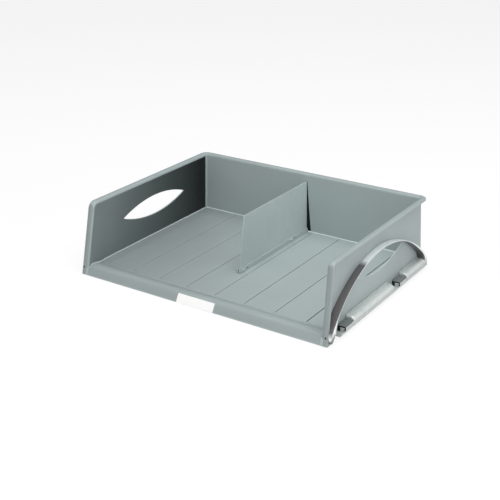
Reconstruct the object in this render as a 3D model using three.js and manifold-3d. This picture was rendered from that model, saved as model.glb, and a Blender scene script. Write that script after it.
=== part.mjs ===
// Letter tray: a wide desk tray with a lift-out divider, hand holes in both side walls, and on each
// side a sprung metal arch standing over a rail that carries two stacking clips.
// Millimetres. The origin is the centre of the footprint on the desk. +Z is up, -Y is the front.
import * as THREE from "three";
import { mergeVertices } from "three/addons/utils/BufferGeometryUtils.js";
import Module from "manifold-3d";

const wasm = await Module();
wasm.setup();

// Overall size
const WIDTH = 490;
const DEPTH = 385;
const HEIGHT = 125;
const FRONT = -DEPTH / 2;
const REAR = DEPTH / 2;
const RIM_X = WIDTH / 2;

// Tray moulding
const SHEET = 2.1;
const WALL_IN = 234.2;
const WALL_OUT = WALL_IN + SHEET;
const REAR_IN = REAR - 10;
const REAR_OUT = REAR_IN + SHEET;
const SKIRT_Z = 0.8;
const FLOOR_Z = 13.2;
const FLOOR_FRONT = FRONT + 31;
const RIM_THICK = 2.6;
const RIM_EDGE = 5;
const RIM_SLOPE_IN = 3;
const RIM_SLOPE_OUT = 7;
const RIM_ROUND = 4;
const RIM_CORNER = 14;
const RAKE = 0.155;
const RAKE_FOOT = FRONT;
const FRONT_CORNER = 12;
const LIP_RIDGE_Y = FRONT + 11.5;
const LIP_RIDGE_Z = 15.6;
const CORNER_BLOCK = 9.9;
const CORNER_TOP = 12;

// Floor grooves and the ribs under the floor
const GROOVE_PITCH = 58;
const GROOVE_X = 15;
const GROOVE_WIDE = 1.5;
const GROOVE_DEEP = 0.9;
const GROOVE_FRONT = FRONT + 37;
const GROOVE_REAR = REAR_IN - 3;
const RIB = 1.8;
const RIB_Z = 3;
const CROSS_RIBS = [-85, 0, 85];

// Hand hole: a pointed lens made of two arcs
const HOLE_Y = 8;
const HOLE_Z = 70.3;
const HOLE_HALF_LONG = 95;
const HOLE_HALF_HIGH = 17.7;

// Divider, its foot and the key slot behind it
const DIVIDER_THICK = 2;
const DIVIDER_TOP = 110.5;
const DIVIDER_FRONT = FRONT + 134.2;
const DIVIDER_RAKE = 0.1535;
const DIVIDER_REAR = REAR_IN - 0.5;
const DIVIDER_CORNER = 3;
const FOOT_HALF = 4.4;
const FOOT_TOP = 20.6;
const FOOT_FRONT = FRONT + 131;
const FOOT_REAR = REAR_IN - 1.2;
const TONGUE_Z = 6;
const TONGUE_LONG = 26;
const TONGUE_Y = [-40, 55, 150];
const PEG_Y = [FRONT + 142.5, FRONT + 309.5];
const PEG_Z = 17.3;
const PEG_R = 1.6;
const PEG_HEAD_R = 2.7;
const PEG_HEAD = 1.2;
const KEY_HALF = 1.7;
const KEY_WIDE = 10.5;
const KEY_DEEP = 5;
const KEY_BOSS_HALF = 14;

// Side rail
const GAP = 0.3;
const RAIL_IN = WALL_OUT + GAP;
const RAIL_OUT = 252.3;
const RAIL_BOTTOM = 5.6;
const RAIL_SIDE_TOP = 13.5;
const RAIL_TOP = 21.5;
const RAIL_CROWN = 20.4;
const RAIL_CROWN_X = 243;
const RAIL_CHAMFER = 2.4;
const RAIL_BEAD = 1.5;
const RAIL_GROOVE = 2.2;
const RAIL_FRONT = FRONT + 33;
const RAIL_REAR = FRONT + 351;
const STRIP_IN = 251.3;
const STRIP_TOP = 13.6;
const RAIL_PLATE = 6.8;
const RAIL_WEB = 1.2;

// Stacking clip: an n-shaped hook over a core of the rail, with a soft pad on top
const CLIP_FRONTS = [FRONT + 49.5, FRONT + 250.5];
const CLIP_LONG = 30.5;
const CLIP_MOUTHS = [RAIL_FRONT - 5, FRONT + 227];
const CLIP_TOP = 15;
const CLIP_BAR = 1.8;
const CLIP_LEG_OUT = 241.8;
const CLIP_HOOK_IN = 249.3;
const CLIP_HOOK_OUT = 251;
const CLIP_HOOK_Z = 8.8;
const CORE_LEAD = 1;
const PAD_THICK = 1;
const PAD_SETBACK = 0.8;

// Arch
const ARCH_Y = -5;
const ARCH_TOP = 95.5;
const ARCH_R = 263;
const ARCH_BAND = 1.9;
const ARCH_IN = RAIL_IN;
const ARCH_OUT_TOP = 249;
const ARCH_OUT_FOOT = 251.6;
const RIM_CLEAR_X = 245.5;
const SHOE_Z = 4.6;

// Label and feet
const LABEL_LONG = 73;
const LABEL_X = -2.6;
const LABEL_THICK = 0.4;
const FOOT_PAD_R = 3.9;
const FOOT_FRONT_X = RIM_X - 4.7;
const FOOT_FRONT_Y = FRONT + 5.6;
const FOOT_REAR_X = WALL_IN - 6.5;
const FOOT_REAR_Y = REAR_IN - 6.5;

const { Vector2, Vector3, Matrix4, Shape, ExtrudeGeometry } = THREE;

// ---- small helpers ----

function solid(geometry) {
  const bare = geometry.index ? geometry.toNonIndexed() : geometry.clone();
  bare.deleteAttribute("normal");
  bare.deleteAttribute("uv");
  const merged = mergeVertices(bare, 1e-4);
  const mesh = new wasm.Mesh({
    numProp: 3,
    vertProperties: merged.attributes.position.array,
    triVerts: new Uint32Array(merged.index.array),
  });
  return new wasm.Manifold(mesh);
}

function geometryOf(manifold) {
  const mesh = manifold.getMesh();
  const geometry = new THREE.BufferGeometry();
  const positions = new Float32Array(mesh.vertProperties);
  geometry.setAttribute("position", new THREE.BufferAttribute(positions, 3));
  geometry.setIndex(new THREE.BufferAttribute(new Uint32Array(mesh.triVerts), 1));
  const flat = geometry.toNonIndexed();
  flat.computeVertexNormals();
  return flat;
}

function join(solids) {
  return solids.reduce((all, next) => all.add(next));
}

function block(x0, x1, y0, y1, z0, z1) {
  const geometry = new THREE.BoxGeometry(x1 - x0, y1 - y0, z1 - z0);
  geometry.translate((x0 + x1) / 2, (y0 + y1) / 2, (z0 + z1) / 2);
  return solid(geometry);
}

function shapeOf(points) {
  return new Shape(points.map(([u, v]) => new Vector2(u, v)));
}

// A (y, z) outline carried along X from x0 to x1.
function alongX(shape, x0, x1, options = {}) {
  const geometry = new ExtrudeGeometry(shape, { depth: x1 - x0, bevelEnabled: false, ...options });
  const turn = new Matrix4().makeBasis(new Vector3(0, 1, 0), new Vector3(0, 0, 1), new Vector3(1, 0, 0));
  geometry.applyMatrix4(turn);
  geometry.translate(x0, 0, 0);
  return solid(geometry);
}

// An (x, z) outline carried along Y from y0 to y1.
function alongY(shape, y0, y1, options = {}) {
  const geometry = new ExtrudeGeometry(shape, { depth: y1 - y0, bevelEnabled: false, ...options });
  const turn = new Matrix4().makeBasis(new Vector3(1, 0, 0), new Vector3(0, 0, 1), new Vector3(0, -1, 0));
  geometry.applyMatrix4(turn);
  geometry.translate(0, y1, 0);
  return solid(geometry);
}

// An (x, y) outline carried along Z from z0 to z1.
function alongZ(shape, z0, z1, options = {}) {
  const geometry = new ExtrudeGeometry(shape, { depth: z1 - z0, bevelEnabled: false, ...options });
  geometry.translate(0, 0, z0);
  return solid(geometry);
}

function rodX(radius, x0, x1, y, z, sides = 20) {
  const geometry = new THREE.CylinderGeometry(radius, radius, x1 - x0, sides);
  geometry.rotateZ(Math.PI / 2);
  geometry.translate((x0 + x1) / 2, y, z);
  return solid(geometry);
}

function rodZ(radius, x, y, z0, z1, sides = 24) {
  const geometry = new THREE.CylinderGeometry(radius, radius, z1 - z0, sides);
  geometry.rotateX(Math.PI / 2);
  geometry.translate(x, y, (z0 + z1) / 2);
  return solid(geometry);
}

// The same solid on the other side of the tray.
function mirrorX(manifold) {
  const geometry = geometryOf(manifold);
  geometry.applyMatrix4(new Matrix4().makeScale(-1, 1, 1));
  const position = geometry.attributes.position;
  const corner = new Vector3();
  const other = new Vector3();
  for (let i = 0; i < position.count; i += 3) {
    corner.fromBufferAttribute(position, i);
    other.fromBufferAttribute(position, i + 1);
    position.setXYZ(i, other.x, other.y, other.z);
    position.setXYZ(i + 1, corner.x, corner.y, corner.z);
  }
  return solid(geometry);
}

// The same solid turned half round on the desk.
function halfTurn(manifold) {
  const geometry = geometryOf(manifold);
  geometry.applyMatrix4(new Matrix4().makeRotationZ(Math.PI));
  return solid(geometry);
}

function bothSides(manifold) {
  return manifold.add(mirrorX(manifold));
}

// ---- tray moulding ----

function rakeY(z) {
  return RAKE_FOOT + RAKE * z;
}

// Outline of a side wall in (y, z): raked front edge, rounded front corner, level top.
function sideOutline(inset) {
  const top = HEIGHT - inset;
  const radius = FRONT_CORNER - inset;
  const low = -30;
  const lean = Math.atan(RAKE);
  const shift = inset / Math.cos(lean);
  const front = (z) => rakeY(z) + shift;
  // The centre of the corner lies one radius below the top and one radius behind the raked edge.
  const centreZ = top - radius;
  const centreY = front(centreZ) + radius / Math.cos(lean);
  const shape = new Shape();
  shape.moveTo(front(low), low);
  shape.lineTo(centreY - radius * Math.cos(lean), centreZ + radius * Math.sin(lean));
  shape.absarc(centreY, centreZ, radius, Math.PI - lean, Math.PI / 2, true);
  shape.lineTo(REAR + 30, top);
  shape.lineTo(REAR + 30, low);
  shape.closePath();
  return shape;
}

function roundedEdge(round) {
  return {
    bevelEnabled: true,
    bevelThickness: round,
    bevelSize: round,
    bevelOffset: -round,
    bevelSegments: 5,
    curveSegments: 8,
  };
}

// Right side wall with its rim turned outwards along the top and down the front edge.
function sideWall() {
  const long = 40;
  const plate = alongX(sideOutline(0), WALL_IN + RIM_ROUND, WALL_IN + long, roundedEdge(RIM_ROUND));
  const slope = { ...roundedEdge(RIM_SLOPE_OUT), bevelSize: RIM_SLOPE_IN, bevelOffset: -RIM_SLOPE_IN };
  slope.bevelSegments = 1;
  const hollow = alongX(sideOutline(RIM_EDGE), WALL_OUT + RIM_SLOPE_OUT, WALL_IN + long, slope);
  const keep = block(0, RIM_X, FRONT - 5, REAR_OUT, SKIRT_Z, HEIGHT + 5);
  return plate.subtract(hollow).intersect(keep);
}

// Rear wall with its rim turned backwards along the top.
function rearWall() {
  const wide = 280;
  const outline = shapeOf([
    [-wide, -30],
    [wide, -30],
    [wide, HEIGHT],
    [-wide, HEIGHT],
  ]);
  const plate = alongY(outline, REAR_IN + RIM_ROUND, REAR + 20, roundedEdge(RIM_ROUND));
  const hollow = block(-wide, wide, REAR_OUT, REAR + 30, -30, HEIGHT - RIM_THICK);
  const beside = block(WALL_OUT, wide, REAR_IN - 5, REAR + 30, -30, HEIGHT - RIM_THICK);
  const keep = block(-RIM_X, RIM_X, REAR_IN - 5, REAR, SKIRT_Z, HEIGHT + 5);
  return plate.subtract(hollow).subtract(bothSides(beside)).intersect(keep);
}

// Surface line of the front lip in (y, z), from the floor's edge over the ridge to the front foot.
function lipLine() {
  return [
    [FLOOR_FRONT + 3, FLOOR_Z],
    [FLOOR_FRONT + 1, FLOOR_Z - 0.2],
    [FLOOR_FRONT - 1, FLOOR_Z - 0.9],
    [FLOOR_FRONT - 3, FLOOR_Z - 0.7],
    [FLOOR_FRONT - 8, FLOOR_Z - 0.1],
    [FLOOR_FRONT - 14, FLOOR_Z + 1],
    [LIP_RIDGE_Y + 3, LIP_RIDGE_Z - 0.7],
    [LIP_RIDGE_Y, LIP_RIDGE_Z],
    [LIP_RIDGE_Y - 1.8, LIP_RIDGE_Z - 0.9],
    [FRONT + 6.2, 11.2],
    [FRONT + 2.6, 5.6],
    [FRONT + 0.5, 1.6],
    [FRONT, SKIRT_Z],
  ];
}

function lip() {
  const under = [
    [FRONT + SHEET, SKIRT_Z],
    [FRONT + 5, 5.2],
    [FRONT + 9, 11.2],
    [LIP_RIDGE_Y + 1, LIP_RIDGE_Z - 2.8],
    [FLOOR_FRONT - 12, FLOOR_Z - 1.8],
    [FLOOR_FRONT - 4, FLOOR_Z - 3],
    [FLOOR_FRONT + 3, FLOOR_Z - SHEET],
  ];
  const sheet = alongX(shapeOf([...lipLine(), ...under]), -WALL_IN - 1, WALL_IN + 1);
  const full = [...lipLine(), [FLOOR_FRONT + 3, SKIRT_Z]];
  const end = alongX(shapeOf(full), WALL_OUT - 4, RIM_X);
  const keep = block(WALL_OUT - 4, RIM_X, FRONT - 1, FRONT + CORNER_BLOCK, SKIRT_Z, CORNER_TOP);
  return sheet.add(bothSides(end.intersect(keep)));
}

function floorPlate() {
  return block(-WALL_IN - 1, WALL_IN + 1, FLOOR_FRONT + 1.5, REAR_IN + 1, FLOOR_Z - SHEET, FLOOR_Z);
}

function floorRibs() {
  const ribs = [];
  for (let k = -4; k <= 3; k += 1) {
    const x = GROOVE_X + GROOVE_PITCH * (k + 0.5);
    ribs.push(block(x - RIB / 2, x + RIB / 2, FLOOR_FRONT + 2, REAR_IN + 1, RIB_Z, FLOOR_Z - 1));
  }
  for (const y of CROSS_RIBS) {
    ribs.push(block(-WALL_IN - 1, WALL_IN + 1, y - RIB / 2, y + RIB / 2, RIB_Z, FLOOR_Z - 1));
  }
  return join(ribs);
}

// Solid corners that carry the rear foot pads.
function rearCorners() {
  const side = 14;
  const corner = block(WALL_IN - side, WALL_IN + 1, REAR_IN - side, REAR_IN + 1, SKIRT_Z, FLOOR_Z - 1);
  return bothSides(corner);
}

function grooves() {
  const cuts = [];
  for (let k = -4; k <= 3; k += 1) {
    const x = GROOVE_X + GROOVE_PITCH * k;
    const half = GROOVE_WIDE / 2;
    const outline = shapeOf([
      [x - half, FLOOR_Z + 1],
      [x - half * 0.4, FLOOR_Z - GROOVE_DEEP],
      [x + half * 0.4, FLOOR_Z - GROOVE_DEEP],
      [x + half, FLOOR_Z + 1],
    ]);
    cuts.push(alongY(outline, GROOVE_FRONT, GROOVE_REAR));
  }
  return join(cuts);
}

// Pointed lens in (y, z): two arcs through the same pair of tips.
function lensShape() {
  const a = HOLE_HALF_LONG;
  const h = HOLE_HALF_HIGH;
  const radius = (a * a + h * h) / (2 * h);
  const drop = radius - h;
  const half = Math.asin(a / radius);
  const up = Math.PI / 2;
  const shape = new Shape();
  shape.moveTo(HOLE_Y + a, HOLE_Z);
  shape.absarc(HOLE_Y, HOLE_Z - drop, radius, up - half, up + half, false);
  shape.absarc(HOLE_Y, HOLE_Z + drop, radius, -up - half, -up + half, false);
  shape.closePath();
  return shape;
}

function handHole() {
  return alongX(lensShape(), WALL_IN - 5, WALL_OUT + 5, { curveSegments: 18 });
}

// Slot behind the divider: narrow at the top, wider on one side towards the floor.
function keyBoss() {
  return block(-KEY_BOSS_HALF, KEY_BOSS_HALF, REAR_IN + 1, REAR_IN + KEY_DEEP + SHEET, SKIRT_Z, HEIGHT - 1);
}

function keySlot() {
  const outline = shapeOf([
    [-KEY_HALF, FLOOR_Z],
    [KEY_WIDE, FLOOR_Z],
    [KEY_HALF, DIVIDER_TOP],
    [-KEY_HALF, DIVIDER_TOP],
  ]);
  return alongY(outline, REAR_IN - 1, REAR_IN + KEY_DEEP);
}

function tongueSlots() {
  const half = DIVIDER_THICK / 2 + GAP;
  const long = TONGUE_LONG / 2 + GAP;
  return join(TONGUE_Y.map((y) => block(-half, half, y - long, y + long, -5, FLOOR_Z + 5)));
}

// Plan outline of the whole tray: the rim's rear corners are rounded.
function planKeep() {
  const shape = new Shape();
  const small = 1.5;
  const big = RIM_CORNER;
  shape.moveTo(-RIM_X + small, FRONT);
  shape.lineTo(RIM_X - small, FRONT);
  shape.absarc(RIM_X - small, FRONT + small, small, -Math.PI / 2, 0, false);
  shape.lineTo(RIM_X, REAR - big);
  shape.absarc(RIM_X - big, REAR - big, big, 0, Math.PI / 2, false);
  shape.lineTo(-RIM_X + big, REAR);
  shape.absarc(-RIM_X + big, REAR - big, big, Math.PI / 2, Math.PI, false);
  shape.lineTo(-RIM_X, FRONT + small);
  shape.absarc(-RIM_X + small, FRONT + small, small, Math.PI, 1.5 * Math.PI, false);
  return alongZ(shape, -5, HEIGHT + 5, { curveSegments: 8 });
}

function trayBody() {
  const side = sideWall().subtract(handHole());
  const walls = bothSides(side).add(rearWall()).add(keyBoss());
  const base = join([floorPlate(), lip(), floorRibs(), rearCorners()]);
  const cuts = join([grooves(), keySlot(), tongueSlots()]);
  return walls.add(base).subtract(cuts).intersect(planKeep());
}

// ---- divider ----

function dividerPlate() {
  const base = FLOOR_Z + GAP;
  const frontTop = DIVIDER_FRONT + DIVIDER_RAKE * (DIVIDER_TOP - FLOOR_Z);
  const r = DIVIDER_CORNER;
  const shape = new Shape();
  shape.moveTo(DIVIDER_FRONT, base);
  shape.lineTo(frontTop - DIVIDER_RAKE * r, DIVIDER_TOP - r);
  shape.quadraticCurveTo(frontTop, DIVIDER_TOP, frontTop + r, DIVIDER_TOP);
  shape.lineTo(DIVIDER_REAR, DIVIDER_TOP);
  shape.lineTo(DIVIDER_REAR, base);
  shape.closePath();
  const half = DIVIDER_THICK / 2;
  const plate = alongX(shape, -half, half, { curveSegments: 5 });
  const tongues = TONGUE_Y.map((y) =>
    block(-half, half, y - TONGUE_LONG / 2, y + TONGUE_LONG / 2, TONGUE_Z, base + 1),
  );
  const holes = PEG_Y.map((y) => rodX(PEG_R + 0.1, -10, 10, y, PEG_Z));
  return plate.add(join(tongues)).subtract(join(holes));
}

// Foot strip: a channel that grips the lower edge of the plate.
function dividerFoot() {
  const outline = shapeOf([
    [-FOOT_HALF, FLOOR_Z + GAP],
    [FOOT_HALF, FLOOR_Z + GAP],
    [FOOT_HALF, FLOOR_Z + 1.6],
    [FOOT_HALF - 1.4, FOOT_TOP],
    [-FOOT_HALF + 1.4, FOOT_TOP],
    [-FOOT_HALF, FLOOR_Z + 1.6],
  ]);
  const strip = alongY(outline, FOOT_FRONT, FOOT_REAR);
  const half = DIVIDER_THICK / 2 + 0.1;
  const slot = block(-half, half, DIVIDER_FRONT - 1, FOOT_REAR + 5, 0, FOOT_TOP + 5);
  const holes = PEG_Y.map((y) => rodX(PEG_R + 0.1, -10, 10, y, PEG_Z));
  return strip.subtract(slot).subtract(join(holes));
}

// A peg through the foot strip and the plate, with a round head on each side.
function dividerPeg(y) {
  const inner = FOOT_HALF + 0.1;
  const outer = inner + PEG_HEAD;
  const rod = rodX(PEG_R, -inner - 0.5, inner + 0.5, y, PEG_Z);
  const head = rodX(PEG_HEAD_R, inner, outer, y, PEG_Z);
  return rod.add(bothSides(head));
}

// ---- rail and clips (right side) ----

// The section has a thin bead against the wall, a groove, and a rounded body.
function railSection() {
  const rx = RAIL_OUT - RAIL_CROWN_X;
  const rz = RAIL_CROWN - RAIL_SIDE_TOP;
  const bead = RAIL_IN + RAIL_BEAD;
  const soft = 0.4;
  const shape = new Shape();
  shape.moveTo(RAIL_IN, RAIL_BOTTOM);
  shape.lineTo(RAIL_OUT - RAIL_CHAMFER, RAIL_BOTTOM);
  shape.lineTo(RAIL_OUT, RAIL_BOTTOM + RAIL_CHAMFER);
  shape.lineTo(RAIL_OUT, RAIL_SIDE_TOP);
  shape.absellipse(RAIL_OUT - rx, RAIL_SIDE_TOP, rx, rz, 0, Math.PI / 2, false, 0);
  shape.lineTo(bead + RAIL_GROOVE - soft, RAIL_CROWN - 2 * soft);
  shape.lineTo(bead + 2 * soft, RAIL_CROWN - RAIL_GROOVE);
  shape.lineTo(bead, RAIL_CROWN - 4 * soft);
  shape.lineTo(bead, RAIL_TOP - soft);
  shape.lineTo(bead - soft, RAIL_TOP);
  shape.lineTo(RAIL_IN + soft, RAIL_TOP);
  shape.lineTo(RAIL_IN, RAIL_TOP - soft);
  shape.closePath();
  return shape;
}

// The space over the thin plate, from x0 out to the strip. The plate turns up along the chamfer.
function trough(x0, y0, y1) {
  const web = RAIL_WEB * Math.SQRT2;
  const above = RAIL_TOP + 5;
  const outline = shapeOf([
    [x0, RAIL_PLATE],
    [RAIL_OUT - RAIL_CHAMFER - web + RAIL_PLATE - RAIL_BOTTOM, RAIL_PLATE],
    [STRIP_IN, STRIP_IN - RAIL_OUT + RAIL_CHAMFER + web + RAIL_BOTTOM],
    [STRIP_IN, above],
    [x0, above],
  ]);
  return alongY(outline, y0, y1);
}

// The rail is notched for each clip: a tongue stands in the middle, with the clip's leg on one side
// and its hook on the other.
function sideRail() {
  const bar = alongY(railSection(), RAIL_FRONT, RAIL_REAR, { curveSegments: 10 });
  const cuts = [];
  CLIP_FRONTS.forEach((front, i) => {
    const rear = front + CLIP_LONG + GAP;
    const mouth = CLIP_MOUTHS[i];
    const coreIn = CLIP_LEG_OUT + GAP;
    const coreOut = CLIP_HOOK_IN - GAP;
    const coreTop = CLIP_TOP - CLIP_BAR - GAP;
    const inner = RAIL_IN - 5;
    const above = RAIL_TOP + 5;
    cuts.push(block(inner, STRIP_IN, mouth, rear, coreTop, above));
    cuts.push(block(inner, RAIL_OUT + 5, mouth, rear, STRIP_TOP, above));
    cuts.push(trough(inner, mouth, front - CORE_LEAD));
    cuts.push(block(inner, coreIn, mouth, rear, RAIL_PLATE, above));
    cuts.push(block(inner, coreIn, front - GAP, rear, RAIL_BOTTOM - 1, above));
    cuts.push(trough(coreOut, mouth, rear));
  });
  return bar.subtract(join(cuts));
}

function clipHook(front) {
  const outline = shapeOf([
    [RAIL_IN, RAIL_BOTTOM - 1],
    [CLIP_LEG_OUT, RAIL_BOTTOM - 1],
    [CLIP_LEG_OUT, CLIP_TOP - CLIP_BAR],
    [CLIP_HOOK_IN - 0.3, CLIP_TOP - CLIP_BAR],
    [CLIP_HOOK_IN, CLIP_TOP - CLIP_BAR - 0.3],
    [CLIP_HOOK_IN, CLIP_HOOK_Z],
    [CLIP_HOOK_OUT, CLIP_HOOK_Z],
    [CLIP_HOOK_OUT, CLIP_TOP - 1.6],
    [CLIP_HOOK_OUT - 0.7, CLIP_TOP - 0.5],
    [CLIP_HOOK_OUT - 2, CLIP_TOP],
    [RAIL_IN, CLIP_TOP],
  ]);
  return alongY(outline, front, front + CLIP_LONG);
}

function clipPad(front) {
  const top = CLIP_TOP + 0.02;
  const rear = front + CLIP_LONG;
  return block(RAIL_IN + 0.1, CLIP_HOOK_OUT - PAD_SETBACK, front + GAP, rear - GAP, top, top + PAD_THICK);
}

// ---- arch (right side) ----

function arcCentreZ() {
  return ARCH_TOP - ARCH_R;
}

// The space in front of a plane just behind the turned rim and the solid corner of the lip.
function rimClearance() {
  const rear = (z) => rakeY(z) + (RIM_EDGE + RIM_SLOPE_IN) * 1.01 + GAP;
  const outline = shapeOf([
    [FRONT - 20, -5],
    [rear(CORNER_TOP + GAP), -5],
    [rear(CORNER_TOP + GAP), CORNER_TOP + GAP],
    [rear(80), 80],
    [FRONT - 20, 80],
  ]);
  return alongX(outline, 200, RIM_CLEAR_X);
}

// The band keeps its inner edge by the wall and widens a little towards its feet.
function bandPlan() {
  return shapeOf([
    [ARCH_IN, RAIL_BOTTOM - 2],
    [ARCH_OUT_FOOT, RAIL_BOTTOM - 2],
    [ARCH_OUT_FOOT, 20],
    [ARCH_OUT_FOOT - 0.6, 36],
    [ARCH_OUT_TOP + 0.6, 60],
    [ARCH_OUT_TOP, 85],
    [ARCH_OUT_TOP, 110],
    [ARCH_IN, 110],
  ]);
}

// Height of a circle about the arch's centre.
function arcZ(y, radius) {
  const across = y - ARCH_Y;
  return arcCentreZ() + Math.sqrt(radius * radius - across * across);
}

function arcPoints(from, to, radius, steps) {
  const points = [];
  for (let i = 0; i <= steps; i += 1) {
    const y = from + ((to - from) * i) / steps;
    points.push([y, arcZ(y, radius)]);
  }
  return points;
}

// Side view of the arch. The front foot is a small gusset. The rear leg thickens and straightens
// into a block behind the rail.
function archOutline() {
  const thin = ARCH_R - ARCH_BAND;
  const outer = arcPoints(FRONT + 5.5, FRONT + 356, ARCH_R, 56);
  const rearFoot = [
    [FRONT + 361.8, 27.5],
    [FRONT + 366, 21.5],
    [FRONT + 368.9, 16],
    [FRONT + 370.8, 11],
    [FRONT + 372, RAIL_BOTTOM],
    [RAIL_REAR + 0.8, RAIL_BOTTOM],
    [RAIL_REAR + 0.8, RAIL_TOP - 0.4],
    [FRONT + 356.4, RAIL_TOP - 0.4],
    [FRONT + 355.6, 24.6],
    [FRONT + 353.8, 28],
    [FRONT + 351, 31.7],
    [FRONT + 347.5, 35.4],
    [FRONT + 341, arcZ(FRONT + 341, ARCH_R - 4.3)],
    [FRONT + 331, arcZ(FRONT + 331, ARCH_R - 4)],
    [FRONT + 320, arcZ(FRONT + 320, ARCH_R - 3.5)],
    [FRONT + 306, arcZ(FRONT + 306, ARCH_R - 2.6)],
  ];
  const inner = arcPoints(FRONT + 290, FRONT + 28, thin, 42);
  const frontFoot = [
    [FRONT + 21.6, 30],
    [FRONT + 20.6, 20.6],
    [FRONT + 19.8, 15.6],
    [FRONT + 18, 11.8],
    [FRONT + 14.8, 8.2],
    [FRONT + 10.5, SHOE_Z],
    [FRONT + 5.5, SHOE_Z],
    [FRONT + 3.5, SHOE_Z + 2],
    [FRONT + 2.5, 14],
  ];
  return shapeOf([...outer, ...rearFoot, ...inner, ...frontFoot]);
}

function arch() {
  const side = alongX(archOutline(), ARCH_IN - 5, ARCH_OUT_FOOT + 5);
  const plan = alongY(bandPlan(), FRONT - 40, REAR + 40);
  return side.intersect(plan).subtract(rimClearance());
}

// ---- label and feet ----

function label() {
  const points = lipLine().slice(8);
  const out = points.map(([y, z]) => [y - LABEL_THICK, z + LABEL_THICK * 0.5]);
  const near = points.map(([y, z]) => [y - 0.05, z + 0.02]);
  const outline = shapeOf([...near, ...out.reverse()]);
  return alongX(outline, LABEL_X - LABEL_LONG / 2, LABEL_X + LABEL_LONG / 2);
}

function footPad(x, y) {
  return rodZ(FOOT_PAD_R, x, y, 0, SKIRT_Z - 0.02);
}

// ---- assembly ----

function paint(color, roughness, metalness) {
  return () => new THREE.MeshStandardMaterial({ color, roughness, metalness });
}

const greyPlastic = paint(0x9fadab, 0.5, 0);
const satinMetal = paint(0xb9bcbb, 0.32, 0.85);
const railMetal = paint(0xc9cfcd, 0.35, 0.4);
const blackPlastic = paint(0x141515, 0.5, 0);
const padRubber = paint(0x5d6667, 0.85, 0);
const whiteCard = paint(0xf7f7f5, 0.7, 0);
const pegPlastic = paint(0xb9c4c2, 0.4, 0);

const tray = new THREE.Group();
tray.name = "letter_tray";

function place(name, manifold, material) {
  const mesh = new THREE.Mesh(geometryOf(manifold), material());
  mesh.name = name;
  tray.add(mesh);
}

place("tray_body", trayBody(), greyPlastic);
place("divider_plate", dividerPlate(), greyPlastic);
place("divider_foot", dividerFoot(), greyPlastic);
place("divider_peg_front", dividerPeg(PEG_Y[0]), pegPlastic);
place("divider_peg_rear", dividerPeg(PEG_Y[1]), pegPlastic);
place("label_card", label(), whiteCard);

// Both sides carry the same rail, clips and arch. The left-hand set is turned half round.
const SIDES = [
  { side: "right", turn: (manifold) => manifold, ends: ["front", "rear"] },
  { side: "left", turn: halfTurn, ends: ["rear", "front"] },
];
for (const { side, turn, ends } of SIDES) {
  place(`rail_${side}`, turn(sideRail()), railMetal);
  ends.forEach((end, i) => {
    place(`clip_${side}_${end}`, turn(clipHook(CLIP_FRONTS[i])), blackPlastic);
    place(`clip_pad_${side}_${end}`, turn(clipPad(CLIP_FRONTS[i])), padRubber);
  });
  place(`arch_${side}`, turn(arch()), satinMetal);
}

for (const [side, sign] of [["right", 1], ["left", -1]]) {
  place(`foot_pad_${side}_front`, footPad(sign * FOOT_FRONT_X, FOOT_FRONT_Y), padRubber);
  place(`foot_pad_${side}_rear`, footPad(sign * FOOT_REAR_X, FOOT_REAR_Y), padRubber);
}

export default tray;
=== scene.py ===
import math

import bmesh
import bpy
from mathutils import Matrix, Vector


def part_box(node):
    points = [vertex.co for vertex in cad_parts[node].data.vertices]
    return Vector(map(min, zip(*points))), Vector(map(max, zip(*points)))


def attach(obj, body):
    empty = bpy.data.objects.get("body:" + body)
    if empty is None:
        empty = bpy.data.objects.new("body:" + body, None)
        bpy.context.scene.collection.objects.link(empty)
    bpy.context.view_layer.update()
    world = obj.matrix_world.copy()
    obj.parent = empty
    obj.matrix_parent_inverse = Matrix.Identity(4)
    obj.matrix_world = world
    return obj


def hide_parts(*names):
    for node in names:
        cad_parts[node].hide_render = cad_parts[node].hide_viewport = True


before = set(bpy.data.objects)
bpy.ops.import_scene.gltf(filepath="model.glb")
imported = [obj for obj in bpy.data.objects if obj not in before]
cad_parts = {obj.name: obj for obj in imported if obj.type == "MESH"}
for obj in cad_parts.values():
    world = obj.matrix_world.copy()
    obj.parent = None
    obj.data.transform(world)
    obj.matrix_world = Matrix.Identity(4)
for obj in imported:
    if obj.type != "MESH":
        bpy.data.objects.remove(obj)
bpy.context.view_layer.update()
MM = 0.001


def box_mm(node):
    """Lowest and highest corner of a CAD node, in millimetres."""
    lo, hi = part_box(node)
    return [c / MM for c in lo], [c / MM for c in hi]


# ---------------------------------------------------------------- dimensions, millimetres
BODY_LO, BODY_HI = box_mm("tray_body")
RIM_X = BODY_HI[0]
FRONT = BODY_LO[1]
REAR = BODY_HI[1]
TOP = BODY_HI[2]
SKIRT = BODY_LO[2]
WALL = 2.1
WALL_IN = RIM_X - 10.8
WALL_OUT = WALL_IN + WALL
REAR_IN = REAR - 10
FLOOR = 13.2
RAKE = 0.155
LEAN = math.atan(RAKE)
RIM_DEEP = 10.5
RIM_INSIDE = 5.2
CREASE = FRONT + 31
PLATE_LO, PLATE_HI = box_mm("divider_plate")
STRIP_LO, STRIP_HI = box_mm("divider_foot")
DIV_TOP = PLATE_HI[2]


# ---------------------------------------------------------------- mesh helpers
def finish_mesh(obj, angle):
    """Shades smooth, with edges sharper than the angle kept crisp."""
    bm = bmesh.new()
    bm.from_mesh(obj.data)
    bmesh.ops.remove_doubles(bm, verts=bm.verts, dist=1e-6)
    bmesh.ops.recalc_face_normals(bm, faces=bm.faces)
    limit = math.radians(angle)
    for e in bm.edges:
        e.smooth = len(e.link_faces) == 2 and e.calc_face_angle(0.0) < limit
    for f in bm.faces:
        f.smooth = True
    bm.to_mesh(obj.data)
    bm.free()


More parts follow.
